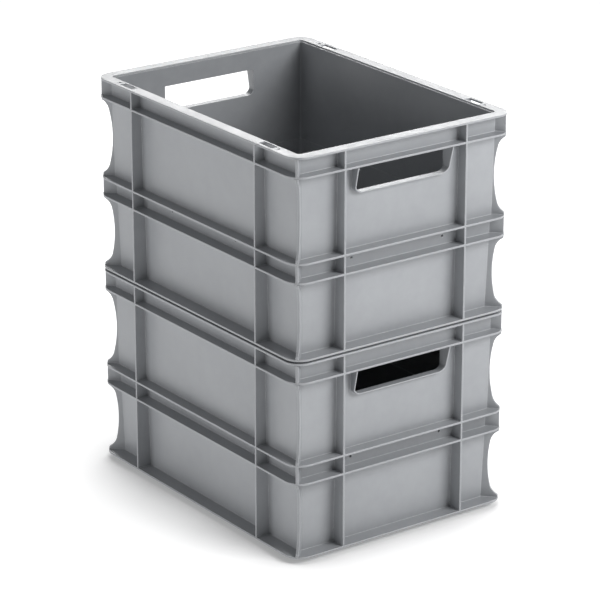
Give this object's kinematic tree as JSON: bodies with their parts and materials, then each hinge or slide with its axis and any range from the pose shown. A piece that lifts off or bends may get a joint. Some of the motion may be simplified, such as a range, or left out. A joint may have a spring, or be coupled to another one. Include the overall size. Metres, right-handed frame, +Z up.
{
  "type": "stacking crate",
  "caption": "Rectangular grey plastic stacking crates with outside ribs, scalloped corner webs and hand holes, one stacked on the other.",
  "frame": {"origin": "centre of the lower crate's underside, on the floor", "axes": "+Z up, +X along the long sides, +Y along the short sides; the hand holes are in the two short sides, at +X and -X"},
  "size_m": [0.4, 0.3, 0.476],
  "materials": {
    "crate_plastic": "semi-matte moulded plastic"
  },
  "bodies": {
    "lower_crate": {"lower_crate_base": "crate_plastic", "lower_crate_ring": "crate_plastic"},
    "upper_crate": {"upper_crate_base": "crate_plastic", "upper_crate_ring": "crate_plastic"}
  },
  "joints": [
    {"name": "lift_off", "type": "slide", "parent": "lower_crate", "child": "upper_crate", "axis": [0, 0, 1], "range_m": [0, 0.3]}
  ]
}
